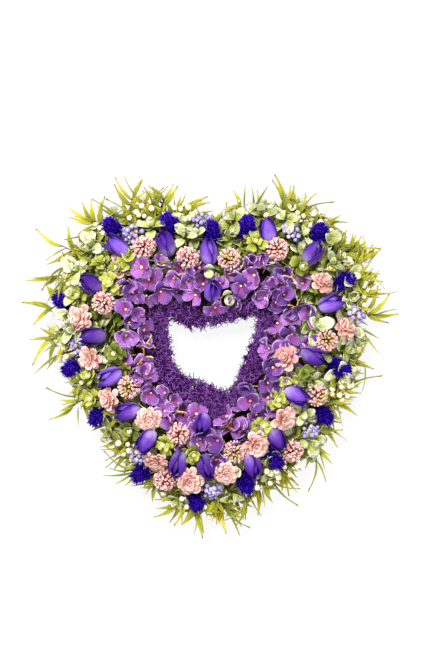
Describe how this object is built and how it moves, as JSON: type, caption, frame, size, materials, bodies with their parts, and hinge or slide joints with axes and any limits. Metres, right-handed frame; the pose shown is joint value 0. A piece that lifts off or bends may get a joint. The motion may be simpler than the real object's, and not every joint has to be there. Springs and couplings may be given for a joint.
{
  "type": "flower wreath",
  "caption": "Heart-shaped wreath of artificial flowers, leaves and berries round a moss-lined opening, on a flat-backed foam ring.",
  "frame": {"origin": "middle of the whole wreath's outline, at the foam ring's flat back", "axes": "+Z away from the wall or table, out of the flowers' face; +Y from the heart's tip towards its two lobes; +X to the right of someone who looks at the face with the lobes up"},
  "size_m": [0.422, 0.4054, 0.059],
  "materials": {
    "foam": "matte foam",
    "tulip": "satin",
    "blue_grass": "matte",
    "pink_tube": "matte",
    "pink_petal": "matte",
    "lilac_berry": "semi-gloss",
    "hydrangea": "matte",
    "pale_leaf": "satin",
    "olive_leaf": "satin",
    "moss": "matte, fibrous"
  },
  "bodies": {
    "root": {"foam_ring": "foam", "tulip_spray_1": "tulip", "tulip_spray_2": "tulip", "tulip_spray_3": "tulip", "tulip_spray_4": "tulip", "tulip_spray_5": "tulip", "tulip_spray_6": "tulip", "tulip_spray_7": "tulip", "tulip_spray_8": "tulip", "blue_grass_1": "blue_grass", "blue_grass_2": "blue_grass", "blue_grass_3": "blue_grass", "blue_grass_4": "blue_grass", "blue_grass_5": "blue_grass", "blue_grass_6": "blue_grass", "pink_tube_heads_1": "pink_tube", "pink_tube_heads_2": "pink_tube", "pink_tube_heads_3": "pink_tube", "pink_tube_heads_4": "pink_tube", "pink_tube_heads_5": "pink_tube", "pink_dahlias_1": "pink_petal", "pink_dahlias_2": "pink_petal", "pink_dahlias_3": "pink_petal", "pink_dahlias_4": "pink_petal", "pink_dahlias_5": "pink_petal", "pink_dahlias_6": "pink_petal", "lilac_berries_1": "lilac_berry", "lilac_berries_2": "lilac_berry", "lilac_berries_3": "lilac_berry", "lilac_berries_4": "lilac_berry", "hydrangea_bunch_1": "hydrangea", "hydrangea_bunch_2": "hydrangea", "hydrangea_bunch_3": "hydrangea", "hydrangea_bunch_4": "hydrangea", "hydrangea_bunch_5": "hydrangea", "hydrangea_bunch_6": "hydrangea", "hydrangea_bunch_7": "hydrangea", "hydrangea_bunch_8": "hydrangea", "leafy_spray_1": "pale_leaf", "leafy_spray_2": "pale_leaf", "leafy_spray_3": "pale_leaf", "leafy_spray_4": "pale_leaf", "leafy_spray_5": "pale_leaf", "leafy_spray_6": "pale_leaf", "leafy_spray_7": "pale_leaf", "leafy_spray_8": "pale_leaf", "fringe_spray_1": "olive_leaf", "fringe_spray_2": "olive_leaf", "fringe_spray_3": "olive_leaf", "fringe_spray_4": "olive_leaf", "fringe_spray_5": "olive_leaf", "fringe_spray_6": "olive_leaf", "fringe_spray_7": "olive_leaf", "fringe_spray_8": "olive_leaf", "moss_pad_1": "moss", "moss_pad_2": "moss", "moss_pad_3": "moss", "moss_pad_4": "moss", "moss_pad_5": "moss"}
  },
  "joints": []
}
